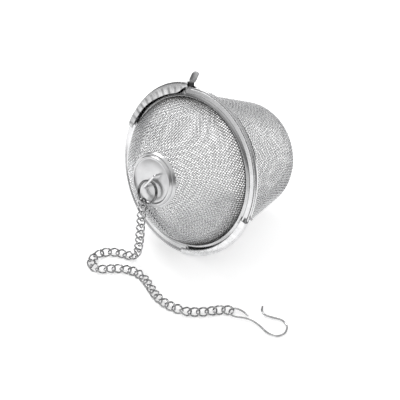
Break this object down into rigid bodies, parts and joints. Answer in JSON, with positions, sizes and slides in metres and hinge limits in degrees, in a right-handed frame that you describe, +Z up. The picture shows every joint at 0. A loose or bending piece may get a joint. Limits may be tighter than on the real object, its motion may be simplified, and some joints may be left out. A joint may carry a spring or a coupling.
{
  "type": "tea infuser",
  "caption": "Woven-mesh tea basket with a twist-lock domed mesh lid, capped with a ring, link chain and cup hook, lying on its side.",
  "frame": {"origin": "on the surface the infuser lies on, under the middle of the infuser without its chain and hook", "axes": "+Z up, the lid faces -Y and looks slightly up, +X to the right seen from the lid"},
  "size_m": [0.1306, 0.1179, 0.0911],
  "materials": {
    "woven_mesh": "plain-woven stainless wire, bright",
    "rim_steel": "pressed and polished stainless",
    "lid_ring_steel": "pressed and polished stainless",
    "band_steel": "rolled stainless strip",
    "cap_steel": "pressed stainless, satin face and polished rolled edge",
    "staple_wire": "drawn stainless wire",
    "ring_wire": "drawn stainless wire",
    "chain_wire": "drawn stainless wire, tumbled",
    "hook_wire": "drawn stainless wire"
  },
  "bodies": {
    "lid": {"lid_mesh": "woven_mesh", "lid_ring": "lid_ring_steel", "lid_clamp_band": "band_steel", "lid_cap": "cap_steel", "cap_backing_plate": "band_steel", "cap_staple": "staple_wire"},
    "basket": {"basket_mesh": "woven_mesh", "basket_rim": "rim_steel", "basket_clamp_band": "band_steel"},
    "double_ring": {"double_ring": "ring_wire"},
    "chain_link_01": {"chain_link_01": "chain_wire"},
    "chain_link_02": {"chain_link_02": "chain_wire"},
    "chain_link_03": {"chain_link_03": "chain_wire"},
    "chain_link_04": {"chain_link_04": "chain_wire"},
    "chain_link_05": {"chain_link_05": "chain_wire"},
    "chain_link_06": {"chain_link_06": "chain_wire"},
    "chain_link_07": {"chain_link_07": "chain_wire"},
    "chain_link_08": {"chain_link_08": "chain_wire"},
    "chain_link_09": {"chain_link_09": "chain_wire"},
    "chain_link_10": {"chain_link_10": "chain_wire"},
    "chain_link_11": {"chain_link_11": "chain_wire"},
    "chain_link_12": {"chain_link_12": "chain_wire"},
    "chain_link_13": {"chain_link_13": "chain_wire"},
    "chain_link_14": {"chain_link_14": "chain_wire"},
    "chain_link_15": {"chain_link_15": "chain_wire"},
    "chain_link_16": {"chain_link_16": "chain_wire"},
    "chain_link_17": {"chain_link_17": "chain_wire"},
    "chain_link_18": {"chain_link_18": "chain_wire"},
    "chain_link_19": {"chain_link_19": "chain_wire"},
    "chain_link_20": {"chain_link_20": "chain_wire"},
    "chain_link_21": {"chain_link_21": "chain_wire"},
    "chain_link_22": {"chain_link_22": "chain_wire"},
    "chain_link_23": {"chain_link_23": "chain_wire"},
    "chain_link_24": {"chain_link_24": "chain_wire"},
    "chain_link_25": {"chain_link_25": "chain_wire"},
    "chain_link_26": {"chain_link_26": "chain_wire"},
    "chain_link_27": {"chain_link_27": "chain_wire"},
    "chain_link_28": {"chain_link_28": "chain_wire"},
    "chain_link_29": {"chain_link_29": "chain_wire"},
    "chain_link_30": {"chain_link_30": "chain_wire"},
    "chain_link_31": {"chain_link_31": "chain_wire"},
    "chain_link_32": {"chain_link_32": "chain_wire"},
    "chain_link_33": {"chain_link_33": "chain_wire"},
    "chain_link_34": {"chain_link_34": "chain_wire"},
    "chain_link_35": {"chain_link_35": "chain_wire"},
    "chain_link_36": {"chain_link_36": "chain_wire"},
    "chain_link_37": {"chain_link_37": "chain_wire"},
    "chain_link_38": {"chain_link_38": "chain_wire"},
    "cup_hook": {"cup_hook": "hook_wire"}
  },
  "joints": [
    {"name": "lid_turn", "type": "hinge", "parent": "lid", "child": "basket", "pos_m": [0, -0.01536, 0.04337], "axis": [0, -0.9605, 0.2782], "range_deg": [0, 75]},
    {"name": "ring_slip", "type": "hinge", "parent": "lid", "child": "double_ring", "pos_m": [0.0009, -0.04495, 0.04653], "axis": [0, -0.8976, 0.4408], "continuous": true},
    {"name": "link_01_turn", "type": "hinge", "parent": "lid", "child": "chain_link_01", "pos_m": [-0.00057, -0.04738, 0.04234], "axis": [0, 0, 1], "range_deg": [-15, 3]},
    {"name": "link_02_turn", "type": "hinge", "parent": "chain_link_01", "child": "chain_link_02", "pos_m": [-0.00093, -0.04753, 0.03815], "axis": [0, 0, -1], "range_deg": [-18, 18]},
    {"name": "link_03_turn", "type": "hinge", "parent": "chain_link_02", "child": "chain_link_03", "pos_m": [-0.00131, -0.04767, 0.03396], "axis": [0, 0, 1], "range_deg": [-18, 18]},
    {"name": "link_04_turn", "type": "hinge", "parent": "chain_link_03", "child": "chain_link_04", "pos_m": [-0.00172, -0.04781, 0.02977], "axis": [0, 0, -1], "range_deg": [-18, 18]},
    {"name": "link_05_turn", "type": "hinge", "parent": "chain_link_04", "child": "chain_link_05", "pos_m": [-0.00214, -0.04795, 0.02558], "axis": [0, 0, 1], "range_deg": [-18, 18]},
    {"name": "link_06_turn", "type": "hinge", "parent": "chain_link_05", "child": "chain_link_06", "pos_m": [-0.00257, -0.04809, 0.0214], "axis": [0, 0, -1], "range_deg": [-18, 18]},
    {"name": "link_07_turn", "type": "hinge", "parent": "chain_link_06", "child": "chain_link_07", "pos_m": [-0.00301, -0.04824, 0.01722], "axis": [0, 0, 1], "range_deg": [-18, 18]},
    {"name": "link_08_turn", "type": "hinge", "parent": "chain_link_07", "child": "chain_link_08", "pos_m": [-0.0035, -0.0484, 0.01304], "axis": [0, 0, -1], "range_deg": [-18, 18]},
    {"name": "link_09_turn", "type": "hinge", "parent": "chain_link_08", "child": "chain_link_09", "pos_m": [-0.00423, -0.04859, 0.0089], "axis": [0, 0, 1], "range_deg": [-18, 18]},
    {"name": "link_10_turn", "type": "hinge", "parent": "chain_link_09", "child": "chain_link_10", "pos_m": [-0.00563, -0.04881, 0.00493], "axis": [0, 0, -1], "range_deg": [-18, 18]},
    {"name": "link_11_turn", "type": "hinge", "parent": "chain_link_10", "child": "chain_link_11", "pos_m": [-0.00894, -0.04906, 0.00235], "axis": [0, 0, 1], "range_deg": [-18, 18]},
    {"name": "link_12_turn", "type": "hinge", "parent": "chain_link_11", "child": "chain_link_12", "pos_m": [-0.01303, -0.04985, 0.00173], "axis": [0, 0, -1], "range_deg": [-18, 18]},
    {"name": "link_13_turn", "type": "hinge", "parent": "chain_link_12", "child": "chain_link_13", "pos_m": [-0.01692, -0.05144, 0.00182], "axis": [0, 0, 1], "range_deg": [-18, 18]},
    {"name": "link_14_turn", "type": "hinge", "parent": "chain_link_13", "child": "chain_link_14", "pos_m": [-0.02044, -0.05375, 0.00181], "axis": [0, 0, -1], "range_deg": [-18, 18]},
    {"name": "link_15_turn", "type": "hinge", "parent": "chain_link_14", "child": "chain_link_15", "pos_m": [-0.02296, -0.05714, 0.00179], "axis": [0, 0, 1], "range_deg": [-18, 18]},
    {"name": "link_16_turn", "type": "hinge", "parent": "chain_link_15", "child": "chain_link_16", "pos_m": [-0.02383, -0.06126, 0.0018], "axis": [0, 0, -1], "range_deg": [-12, 18]},
    {"name": "link_17_turn", "type": "hinge", "parent": "chain_link_16", "child": "chain_link_17", "pos_m": [-0.02263, -0.06531, 0.0018], "axis": [0, 0, 1], "range_deg": [-18, 6]},
    {"name": "link_18_turn", "type": "hinge", "parent": "chain_link_17", "child": "chain_link_18", "pos_m": [-0.01925, -0.06781, 0.0018], "axis": [0, 0, -1], "range_deg": [-6, 18]},
    {"name": "link_19_turn", "type": "hinge", "parent": "chain_link_18", "child": "chain_link_19", "pos_m": [-0.01505, -0.06777, 0.0018], "axis": [0, 0, 1], "range_deg": [-18, 6]},
    {"name": "link_20_turn", "type": "hinge", "parent": "chain_link_19", "child": "chain_link_20", "pos_m": [-0.01185, -0.06504, 0.0018], "axis": [0, 0, -1], "range_deg": [-18, 18]},
    {"name": "link_21_turn", "type": "hinge", "parent": "chain_link_20", "child": "chain_link_21", "pos_m": [-0.00919, -0.06178, 0.0018], "axis": [0, 0, 1], "range_deg": [-18, 18]},
    {"name": "link_22_turn", "type": "hinge", "parent": "chain_link_21", "child": "chain_link_22", "pos_m": [-0.006, -0.05905, 0.0018], "axis": [0, 0, -1], "range_deg": [-18, 18]},
    {"name": "link_23_turn", "type": "hinge", "parent": "chain_link_22", "child": "chain_link_23", "pos_m": [-0.00224, -0.05713, 0.0018], "axis": [0, 0, 1], "range_deg": [-18, 18]},
    {"name": "link_24_turn", "type": "hinge", "parent": "chain_link_23", "child": "chain_link_24", "pos_m": [0.00187, -0.05618, 0.0018], "axis": [0, 0, -1], "range_deg": [-18, 18]},
    {"name": "link_25_turn", "type": "hinge", "parent": "chain_link_24", "child": "chain_link_25", "pos_m": [0.00609, -0.05632, 0.0018], "axis": [0, 0, 1], "range_deg": [-18, 18]},
    {"name": "link_26_turn", "type": "hinge", "parent": "chain_link_25", "child": "chain_link_26", "pos_m": [0.01015, -0.05739, 0.0018], "axis": [0, 0, -1], "range_deg": [-18, 18]},
    {"name": "link_27_turn", "type": "hinge", "parent": "chain_link_26", "child": "chain_link_27", "pos_m": [0.01406, -0.05895, 0.0018], "axis": [0, 0, 1], "range_deg": [-18, 18]},
    {"name": "link_28_turn", "type": "hinge", "parent": "chain_link_27", "child": "chain_link_28", "pos_m": [0.01792, -0.06062, 0.0018], "axis": [0, 0, -1], "range_deg": [-18, 18]},
    {"name": "link_29_turn", "type": "hinge", "parent": "chain_link_28", "child": "chain_link_29", "pos_m": [0.02187, -0.06208, 0.0018], "axis": [0, 0, 1], "range_deg": [-18, 18]},
    {"name": "link_30_turn", "type": "hinge", "parent": "chain_link_29", "child": "chain_link_30", "pos_m": [0.02598, -0.063, 0.0018], "axis": [0, 0, -1], "range_deg": [-18, 18]},
    {"name": "link_31_turn", "type": "hinge", "parent": "chain_link_30", "child": "chain_link_31", "pos_m": [0.03018, -0.06312, 0.0018], "axis": [0, 0, 1], "range_deg": [-18, 18]},
    {"name": "link_32_turn", "type": "hinge", "parent": "chain_link_31", "child": "chain_link_32", "pos_m": [0.03434, -0.06255, 0.0018], "axis": [0, 0, -1], "range_deg": [-18, 18]},
    {"name": "link_33_turn", "type": "hinge", "parent": "chain_link_32", "child": "chain_link_33", "pos_m": [0.03839, -0.0614, 0.0018], "axis": [0, 0, 1], "range_deg": [-18, 18]},
    {"name": "link_34_turn", "type": "hinge", "parent": "chain_link_33", "child": "chain_link_34", "pos_m": [0.0422, -0.05963, 0.0018], "axis": [0, 0, -1], "range_deg": [-18, 18]},
    {"name": "link_35_turn", "type": "hinge", "parent": "chain_link_34", "child": "chain_link_35", "pos_m": [0.04545, -0.05694, 0.0018], "axis": [0, 0, 1], "range_deg": [-18, 18]},
    {"name": "link_36_turn", "type": "hinge", "parent": "chain_link_35", "child": "chain_link_36", "pos_m": [0.0483, -0.05384, 0.0018], "axis": [0, 0, -1], "range_deg": [-18, 18]},
    {"name": "link_37_turn", "type": "hinge", "parent": "chain_link_36", "child": "chain_link_37", "pos_m": [0.05089, -0.05053, 0.0018], "axis": [0, 0, 1], "range_deg": [-18, 18]},
    {"name": "link_38_turn", "type": "hinge", "parent": "chain_link_37", "child": "chain_link_38", "pos_m": [0.05348, -0.04722, 0.0018], "axis": [0, 0, -1], "range_deg": [-18, 18]},
    {"name": "hook_turn", "type": "hinge", "parent": "chain_link_38", "child": "cup_hook", "pos_m": [0.05707, -0.04504, 0.0018], "axis": [0, 0, 1], "range_deg": [-8, 18]}
  ]
}
